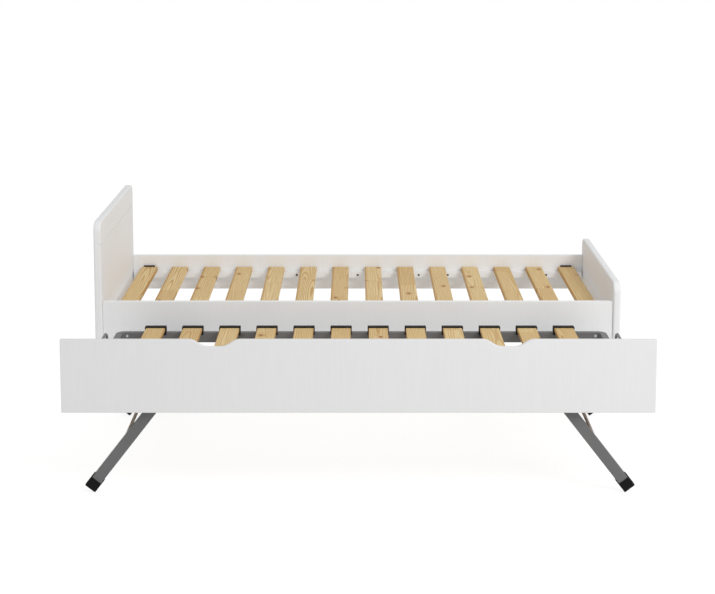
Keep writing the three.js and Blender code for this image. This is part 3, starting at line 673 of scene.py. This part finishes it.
tube = {"width": 0.025, "height": 0.038, "radius": 0.003, "cornerRadius": 0.036,
        "bendSteps": 14}
lug = {"width": 0.014, "thickness": 0.004, "drop": 0.024, "foot": 0.007, "outboard": 0.0665,
       "bend": 0.0063}
pin = {"radius": 0.003, "length": 0.010, "headRadius": 0.0046, "headLength": 0.0015,
       "headEdge": 0.0005}
frameBolt = {"radius": 0.0055, "proud": 0.0022, "edge": 0.00132, "rise": 0.006,
             "fromSeam": 0.004}
crossTube = {"width": 0.030, "height": 0.025, "radius": 0.0025}
fork = {"thickness": 0.003, "width": 0.024, "foot": 0.009, "gap": 0.001, "bend": 0.0081,
        "nutRadius": 0.0065, "nutLength": 0.004, "nutEdge": 0.0006, "nutSunk": 0.0005,
        "axleRadius": 0.004, "axlePast": 0.003}


# A section's own Z laid along X, for a tube that starts there.
def alongX(x, y, z):
    return Matrix.Translation((x, y, z)) @ Matrix.Rotation(math.radians(90), 4, "Y")


# A bent end tube: a short straight, a corner, the long straight, a corner, a short straight.
def addEndTube(name, side):
    low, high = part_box(f"frame_{name}_end")
    inner, outer = (high.x, low.x) if side < 0 else (low.x, high.x)
    z = (low.z + high.z) / 2
    radius, steps = tube["cornerRadius"], tube["bendSteps"]
    bendX = outer - side * radius
    bm = bmesh.new()
    ring = roundedSection(bm, tube["height"], tube["width"], tube["radius"],
                          alongX(inner, low.y + tube["width"] / 2, z))
    if abs(bendX - inner) > tiny:
        ring = sweepStraight(bm, ring, (bendX - inner, 0, 0))
    ring = sweepBend(bm, ring, (bendX, low.y + radius, z), (0, 0, side), 90, steps)
    ring = sweepStraight(bm, ring, (0, high.y - low.y - 2 * radius, 0))
    ring = sweepBend(bm, ring, (bendX, high.y - radius, z), (0, 0, side), 90, steps)
    if abs(bendX - inner) > tiny:
        sweepStraight(bm, ring, (inner - bendX, 0, 0))
    closeEnds(bm)
    addPiece(f"frame{name.title()}Bend", bm, "greyCoat", "trundle", f"frame_{name}_end")


# Pan-headed bolts that hold the bent ends in the long tubes, on their inner and outer faces.
def addFrameBolts():
    low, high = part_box("frame_left_end")[0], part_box("frame_right_end")[1]
    seams = (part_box("frame_left_end")[1].x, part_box("frame_right_end")[0].x)
    z = (low.z + high.z) / 2 + frameBolt["rise"]
    bm = bmesh.new()
    for outer, inward in ((low.y, 1), (high.y, -1)):
        for x, along in zip(seams, (1, -1)):
            x += along * frameBolt["fromSeam"]
            for face, out in ((outer, -inward), (outer + inward * tube["width"], inward)):
                addBar(bm, frameBolt["radius"], (x, face - out * overlap, z),
                       (x, face + out * frameBolt["proud"], z), 20, frameBolt["edge"])
    addPiece("frameBolts", bm, "screwZinc", "trundle")


# A headed pin along Y for a spring's eye, whose length counts from the face it stands on.
def addPin(bm, x, face, z, out, sunk=0.0):
    tip = face + out * pin["length"]
    addBar(bm, pin["radius"], (x, face - out * sunk, z), (x, tip, z))
    addBar(bm, pin["headRadius"], (x, tip - out * pin["headLength"], z), (x, tip, z), 16,
           pin["headEdge"])


# A long tube with the lugs and pins that the leg springs hook on.
def addLongTube(name, side):
    leftEnd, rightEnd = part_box("frame_left_end"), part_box("frame_right_end")
    outer = leftEnd[0].y if side < 0 else leftEnd[1].y
    y = outer - side * tube["width"] / 2
    z = (leftEnd[0].z + leftEnd[1].z) / 2
    startX, endX = leftEnd[1].x + seatGap, rightEnd[0].x - seatGap
    bm = bmesh.new()
    ring = roundedSection(bm, tube["height"], tube["width"], tube["radius"], alongX(startX, y, z))
    sweepStraight(bm, ring, (endX - startX, 0, 0))
    closeEnds(bm)
    for legName, legSide in sides:
        pivot = Vector(joints[f"{legName}_leg_fold"]["pos_m"])
        x = pivot.x + legSide * lug["outboard"]
        pinZ = pivot.z - lug["drop"]
        ys = sorted((outer, outer - side * lug["thickness"]))
        addEar(bm, (x - lug["width"] / 2, ys[0], pinZ - lug["foot"]),
               (x + lug["width"] / 2, ys[1], leftEnd[0].z + 2 * overlap), 1, pinZ, lug["bend"])
        addPin(bm, x, outer, pinZ, side, 2 * overlap)
    addPiece(f"frame{name.title()}Tube", bm, "greyCoat", "trundle", f"frame_{name}_tube")


# A cross tube with two wheel forks under it.
def addCrossMember(name):
    node = f"cross_member_{name}"
    low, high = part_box(node)
    turn = (Matrix.Rotation(math.radians(90), 4, "X") @ Matrix.Rotation(math.radians(90), 4, "Z"))
    start = Vector(((low.x + high.x) / 2, low.y, high.z - crossTube["height"] / 2))
    under = high.z - crossTube["height"]
    bm = bmesh.new()
    ring = roundedSection(bm, crossTube["height"], crossTube["width"], crossTube["radius"],
                          Matrix.Translation(start) @ turn)
    sweepStraight(bm, ring, (0, high.y - low.y, 0))
    closeEnds(bm)
    for end, _ in ends:
        wheelLow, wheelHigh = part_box(f"wheel_{end}_{name}")
        y = (wheelLow.y + wheelHigh.y) / 2
        z = (wheelLow.z + wheelHigh.z) / 2
        for face, out in ((wheelLow.x, -1), (wheelHigh.x, 1)):
            inner = face + out * fork["gap"]
            outer = inner + out * fork["thickness"]
            xs = sorted((inner, outer))
            addEar(bm, (xs[0], y - fork["width"] / 2, z - fork["foot"]),
                   (xs[1], y + fork["width"] / 2, under + overlap), 0, z, fork["bend"])
            addBar(bm, fork["nutRadius"], (outer - out * fork["nutSunk"], y, z),
                   (outer + out * fork["nutLength"], y, z), 6, fork["nutEdge"])
        addBar(bm, fork["axleRadius"], (wheelLow.x - fork["axlePast"], y, z),
               (wheelHigh.x + fork["axlePast"], y, z), 20)
    addPiece(f"crossMember{name.title()}", bm, "greyCoat", "trundle", node)


# A transport wheel: a hub with a web and a rim, and a tyre round it.
wheelHub = {"bore": 0.0046, "bossRadius": 0.0075, "rimInner": 0.0125, "rimOuter": 0.0168,
            "webHalf": 0.0035, "bossInset": 0.0004, "rimInset": 0.0015}
tyre = {"edge": 0.0028, "shoulder": 0.3, "bead": 0.0006, "beadInset": 0.0008, "lap": 0.0002,
        "steps": 36}


# Half a profile in (x, radius), mirrored in the wheel's middle plane and spun round its axle.
def spunShape(half, centre):
    profile = half + [(-x, radius) for x, radius in reversed(half)]
    bm = bmesh.new()
    verts = [bm.verts.new((x, 0, radius)) for x, radius in profile]
    edges = [bm.edges.new((verts[i], verts[(i + 1) % len(verts)])) for i in range(len(verts))]
    bmesh.ops.spin(bm, geom=verts + edges, cent=(0, 0, 0), axis=(1, 0, 0), angle=math.tau,
                   steps=tyre["steps"], use_merge=True, use_duplicate=False)
    return moveShape(bm, Matrix.Translation(centre))


def addWheel(end, name):
    node = f"wheel_{end}_{name}"
    low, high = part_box(node)
    centre = (low + high) / 2
    half, radius = (high.x - low.x) / 2, (high.z - low.z) / 2
    hub, edge = wheelHub, tyre["edge"]
    boss, rim = hub["bossInset"] - half, hub["rimInset"] - half
    title = f"{end.title()}{name.title()}"
    addPiece(f"wheelHub{title}", spunShape([
        (boss, hub["bore"]), (boss, hub["bossRadius"]), (-hub["webHalf"], hub["bossRadius"]),
        (-hub["webHalf"], hub["rimInner"]), (rim, hub["rimInner"]), (rim, hub["rimOuter"]),
    ], centre), "wheelGrey", node)
    inner = hub["rimOuter"] - tyre["lap"]
    shoulder = edge * tyre["shoulder"]
    addPiece(f"wheelTyre{title}", spunShape([
        (tyre["beadInset"] - half, inner), (-half, inner + tyre["bead"]), (-half, radius - edge),
        (shoulder - half, radius - shoulder), (edge - half, radius),
    ], centre), "wheelTyre", node, node)


trundleSlatEdge = 0.0016
cap = {"wall": 0.0034, "length": 0.030, "pocketEnd": 0.003, "edge": 0.0022, "height": 0.0212,
       "skirtDepth": 0.009, "skirtThickness": 0.003, "skirtEdge": 0.0009}


def addTrundleSlats():
    count = sum(name.startswith("trundle_slat_") for name in frame["nodes"])
    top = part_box("slat_caps_rear")[1].z
    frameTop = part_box("frame_left_end")[1].z
    for number in range(1, count + 1):
        node = f"trundle_slat_{number:02d}"
        low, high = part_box(node)
        slat = roundedBox(low, high, trundleSlatEdge)
        addPiece(f"trundleSlatBoard{number:02d}", slat, "trundlePine", "trundle", node)
        middle = (low.x + high.x) / 2
        half = (high.x - low.x) / 2 + seatGap + cap["wall"]
        for end, side in ends:
            row = f"slat_caps_{end}"
            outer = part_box(row)[0 if side < 0 else 1].y
            shape = capShape(middle, half, outer, side, frameTop, top)
            stands = [row] if number == 1 else []  # the first cap of a row stands for it all
            addPiece(f"slatCap{end.title()}{number:02d}", shape, "blackPlastic", "trundle", *stands)


# A cap over a slat's end: open towards the middle of the bed, with a lip beside the tube.
def capShape(middle, half, outer, side, frameTop, top):
    inner = outer - side * cap["length"]
    ys = sorted((outer, inner))
    bottom = top - cap["height"]
    bm = boxShape((middle - half, ys[0], bottom), (middle + half, ys[1], top))
    mouth = facesAt(bm, 1, inner)[0]
    others = [edge for edge in bm.edges if edge not in mouth.edges[:]]
    pocket = bmesh.ops.inset_individual(bm, faces=[mouth], thickness=cap["wall"])["faces"]
    inside = [face for face in facesAt(bm, 1, inner) if face not in pocket]
    sinkFaces(bm, inside, (0, side * (cap["length"] - cap["pocketEnd"]), 0))
    roundEdges(bm, [edge for edge in others if edge.is_valid], cap["edge"], 4)
    skirt = outer - side * (tube["width"] + seatGap)
    ys = sorted((skirt, skirt - side * cap["skirtThickness"]))
    addShape(bm, roundedBox(
        (middle - half, ys[0], frameTop - cap["skirtDepth"]),
        (middle + half, ys[1], bottom + 2 * overlap), cap["skirtEdge"], 2))
    return bm


hoop = {"radius": 0.005, "bend": 0.050, "sides": 16, "bendSteps": 14,
        "ferrule": 0.0085, "ferruleHeight": 0.013, "ferruleWall": 0.001}


# A rod bent to an inverted U, with a black ferrule on each foot.
def addHoop(name):
    node = f"mattress_hoop_{name}"
    low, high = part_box(node)
    x = (low.x + high.x) / 2
    radius, bend, steps = hoop["radius"], hoop["bend"], hoop["bendSteps"]
    startY, endY = low.y + radius, high.y - radius
    top = high.z - radius - bend
    bm = bmesh.new()
    ring = circleSection(bm, radius, hoop["sides"], Matrix.Translation((x, startY, low.z)))
    ring = sweepStraight(bm, ring, (0, 0, top - low.z))
    ring = sweepBend(bm, ring, (x, startY + bend, top), (1, 0, 0), -90, steps)
    ring = sweepStraight(bm, ring, (0, endY - startY - 2 * bend, 0))
    ring = sweepBend(bm, ring, (x, endY - bend, top), (1, 0, 0), -90, steps)
    sweepStraight(bm, ring, (0, 0, low.z - top))
    closeEnds(bm)
    addPiece(f"mattressHoop{name.title()}", bm, "greyCoat", "trundle", node)
    ferrules = bmesh.new()
    for y in (startY, endY):
        bmesh.ops.create_cone(
            ferrules, cap_ends=True, segments=24, radius1=hoop["ferrule"],
            radius2=radius + hoop["ferruleWall"], depth=hoop["ferruleHeight"],
            matrix=Matrix.Translation((x, y, low.z + hoop["ferruleHeight"] / 2)))
    addPiece(f"hoopFerrules{name.title()}", ferrules, "blackPlastic", "trundle")


leg = {"width": 0.036, "depth": 0.022, "radius": 0.003, "head": 0.019, "splay": 37.8,
       "space": 0.013, "reach": 0.37453, "axleRadius": 0.012, "collarRadius": 0.017,
       "collarEdge": 0.001, "collarGap": 0.001, "plug": 0.002, "plugEdge": 0.0009,
       "springPin": 0.213}
footCap = {"wall": 0.0022, "floor": 0.006, "side": 0.050, "face": 0.035, "edge": 0.0012,
           "earInset": 0.0045, "earEdge": 0.0008}
spring = {"coilRadius": 0.0046, "wire": 0.0013, "pitch": 0.0031, "stepsPerTurn": 12,
          "wireSides": 6, "play": 0.0003, "neck": 0.006, "eyeTurn": 350, "eyeSteps": 24,
          "eyeSides": 8, "grows": (0.0065, 0.0085), "lean": 54}


# From a leg's own space, where it hangs straight down from its axle, to its place.
def legPlace(name, side):
    pivot = Vector(joints[f"{name}_leg_fold"]["pos_m"])
    turn = Matrix.Rotation(math.radians(-side * leg["splay"]), 4, "Y")
    return Matrix.Translation(pivot) @ turn, pivot


def addLegs(name, side):
    matrix, pivot = legPlace(name, side)
    frameLow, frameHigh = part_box("frame_left_end")
    halfFrame = (frameHigh.y - frameLow.y) / 2
    halfWidth, halfDepth = leg["width"] / 2, leg["depth"] / 2
    legY = halfFrame + leg["space"] + halfDepth
    bottom = -leg["reach"] + footCap["floor"] + seatGap
    plugZ = leg["head"] - leg["plug"]
    bm = bmesh.new()
    plugs = bmesh.new()
    for _, direction in ends:
        y = direction * legY
        bar = bmesh.new()
        ring = roundedSection(bar, leg["width"], leg["depth"], leg["radius"],
                              Matrix.Translation((0, y, bottom)))
        sweepStraight(bar, ring, (0, 0, plugZ - bottom))
        closeEnds(bar)
        addShape(bm, bar)
        addShape(plugs, roundedBox(
            (-halfWidth, y - halfDepth, plugZ), (halfWidth, y + halfDepth, leg["head"]),
            leg["plugEdge"], 2))
        face = y - direction * halfDepth  # towards the frame
        addBar(bm, leg["collarRadius"], (0, face + direction * overlap, 0),
               (0, direction * (halfFrame + leg["collarGap"]), 0), 32, leg["collarEdge"])
        addPin(bm, 0, face, -leg["springPin"], -direction)
    addBar(bm, leg["axleRadius"], (0, -legY, 0), (0, legY, 0), 32)
    title = name.title()
    body = f"{name}_legs"
    addPiece(f"legs{title}", moveShape(bm, matrix), "greyCoat", body, body)
    addPiece(f"legPlugs{title}", moveShape(plugs, matrix), "blackPlastic", body)
    for end, direction in ends:
        addFootCap(end, name, direction * legY, matrix, body)
        addSpring(end, name, side, direction, halfFrame, pivot, body)


# A cap over a leg's end, whose faces are shorter than its sides.
def addFootCap(end, name, y, matrix, body):
    gap = seatGap + footCap["wall"]
    halfWidth = leg["width"] / 2 + gap
    halfDepth = leg["depth"] / 2 + gap
    base = -leg["reach"]
    face = base + footCap["face"]
    bm = boxShape((-halfWidth, y - halfDepth, base), (halfWidth, y + halfDepth, face))
    roundEdges(bm, edgesAlong(bm, 2), leg["radius"] + gap, 5)
    top = facesAt(bm, 2, face)[0]
    bottomRim = [edge for edge in bm.edges if max(vert.co.z for vert in edge.verts) < base + tiny]
    bmesh.ops.inset_individual(bm, faces=[top], thickness=footCap["wall"] + seatGap * 0.5)
    sinkFaces(bm, [top], (0, 0, footCap["floor"] - footCap["face"]))
    roundEdges(bm, [edge for edge in bottomRim if edge.is_valid], footCap["edge"])
    earDepth = halfDepth - footCap["earInset"]
    for side in (-1, 1):
        xs = sorted((side * (leg["width"] / 2 + seatGap), side * halfWidth))
        addShape(bm, roundedBox(
            (xs[0], y - earDepth, face - overlap),
            (xs[1], y + earDepth, base + footCap["side"]), footCap["earEdge"], 2))
    addPiece(f"footCap{end.title()}{name.title()}", moveShape(bm, matrix), "blackPlastic", body,
             f"foot_cap_{end}_{name}")


# A coil spring between the pin on the leg and the pin on the frame, built at rest and fixed in
# place.
# A short straight wire joins the coils to each eye. The upper wire's ring leans halfway to the way
# that wire runs when the leg is folded.
def addSpring(end, name, side, direction, halfFrame, pivot, body):
    y = pivot.y + direction * (halfFrame + leg["space"] / 2)
    splay = math.radians(leg["splay"])
    onLeg = Vector((pivot.x + side * leg["springPin"] * math.sin(splay), y,
                    pivot.z - leg["springPin"] * math.cos(splay)))
    onFrame = Vector((pivot.x + side * lug["outboard"], y, pivot.z - lug["drop"]))
    run = onFrame - onLeg
    wire, coil = spring["wire"], spring["coilRadius"]
    loop = pin["radius"] + wire + spring["play"]
    start = loop + spring["neck"]
    turns = int((run.length - 2 * start) / spring["pitch"])
    steps = turns * spring["stepsPerTurn"]
    bm = bmesh.new()
    section = Matrix.Translation((coil, 0, start)) @ Matrix.Rotation(math.radians(90), 4, "X")
    ring = circleSection(bm, wire, spring["wireSides"], section)
    rise = (0, 0, (run.length - 2 * start) / steps)
    sweepBend(bm, ring, (0, 0, 0), (0, 0, 1), 360 * turns, steps, rise)
    for z, outward, lean in ((0, 1, 0), (run.length, -1, spring["lean"])):
        eye = bmesh.new()
        ring = circleSection(eye, wire, spring["eyeSides"], Matrix.Translation((loop, 0, z)))
        sweepBend(eye, ring, (0, 0, z), (0, 1, 0), spring["eyeTurn"], spring["eyeSteps"])
        addShape(bm, eye)
        neck = bmesh.new()
        ring = circleSection(neck, wire, spring["eyeSides"],
                             Matrix.Translation((0, 0, z + outward * (start + overlap))))
        ring = sweepStraight(neck, ring, (0, 0, -outward * (spring["neck"] + overlap)))
        bmesh.ops.rotate(
            neck, cent=(0, 0, z + outward * loop),
            matrix=Matrix.Rotation(math.radians(-lean), 3, "X"),
            verts=list({vert for edge in ring for vert in edge.verts}))
        addShape(bm, neck)
        bend = z + outward * start
        addBar(bm, wire, (0, 0, bend), (coil, 0, bend), spring["eyeSides"])
    closeEnds(bm)
    turn = run.to_track_quat("Z", "Y").to_matrix().to_4x4()
    moveShape(bm, Matrix.Translation(onLeg) @ turn)
    grows = [onFrame - run.normalized() * reach for reach in spring["grows"]]
    addPiece(f"legSpring{end.title()}{name.title()}", bm, "springWire", "trundle",
             f"leg_spring_{end}_{name}", blend=(body, *grows), sharp=60)


addPanels()
addRailsAndBattens()
addBedSlats()
print("bed made")
addDrawerFront()
addBrackets()
for end, side in ends:
    addLongTube(end, side)
addFrameBolts()
for name, side in sides:
    addEndTube(name, side)
    addCrossMember(name)
    addHoop(name)
    addLegs(name, side)
    for end, _ in ends:
        addWheel(end, name)
addTrundleSlats()
print("trundle made")


studio = {
    "world": 0.61, "floorSize": 60, "floorDrop": 0.0005,
    "floorShade": 0.24, "floorGlow": 0.86,  # as the camera sees the floor
    "bounce": 0.5, "underglow": 0.34,  # as the object is lit by it
}
lamps = {
    "key": {"place": (3.4, -4.4, 4.4), "aim": (0, 0, 0.3), "size": 2.6, "power": 172},
}


# 1 for what is seen straight, in a reflection or through glass, 0 for what only lights.
def seenMask(tree):
    rays = tree.nodes.new("ShaderNodeLightPath").outputs
    seen = compute(tree, "MAXIMUM", rays["Is Camera Ray"], rays["Is Glossy Ray"])
    return compute(tree, "MAXIMUM", seen, rays["Is Transmission Ray"])


# White to the camera and in reflections, and softer as a light on the object.
def makeWorld():
    world = bpy.data.worlds.new("studio")
    world.use_nodes = True
    scene.world = world
    tree = world.node_tree
    light = tree.nodes["Background"]
    strength = remap(tree, seenMask(tree), 0.0, 1.0, studio["world"], 1.0)
    tree.links.new(strength, light.inputs["Strength"])
    light.inputs["Color"].default_value = rgba(1, 1, 1)


# A matt surface that also glows.
def glowingFloor(tree, shade, glow):
    diffuse = place(tree, "ShaderNodeBsdfDiffuse", {"Color": rgba(shade, shade, shade)}).outputs[0]
    emission = place(tree, "ShaderNodeEmission", {"Strength": glow}).outputs[0]
    return place(tree, "ShaderNodeAddShader", {0: diffuse, 1: emission}).outputs[0]


def makeFloor():
    bm = bmesh.new()
    bmesh.ops.create_grid(bm, x_segments=1, y_segments=1, size=studio["floorSize"] / 2)
    mesh = bpy.data.meshes.new("studioFloor")
    bm.to_mesh(mesh)
    bm.free()
    floor = bpy.data.objects.new("studioFloor", mesh)
    floor.location.z = -studio["floorDrop"]
    scene.collection.objects.link(floor)
    look = bpy.data.materials.new("studioFloor")
    look.use_nodes = True
    tree = look.node_tree
    tree.nodes.remove(tree.nodes["Principled BSDF"])
    mixed = place(tree, "ShaderNodeMixShader", {
        0: seenMask(tree),
        1: glowingFloor(tree, studio["bounce"], studio["underglow"]),
        2: glowingFloor(tree, studio["floorShade"], studio["floorGlow"])}).outputs[0]
    tree.links.new(mixed, tree.nodes["Material Output"].inputs["Surface"])
    mesh.materials.append(look)


def addLamps():
    for name, lamp in lamps.items():
        data = bpy.data.lights.new(name, "AREA")
        data.energy = lamp["power"]
        data.size = lamp["size"]
        light = bpy.data.objects.new(name, data)
        light.location = lamp["place"]
        aim = Vector(lamp["aim"]) - light.location
        light.rotation_euler = aim.to_track_quat("-Z", "Y").to_euler()
        scene.collection.objects.link(light)


makeWorld()
makeFloor()
addLamps()
scene.view_settings.view_transform = "Standard"
print("studio made")
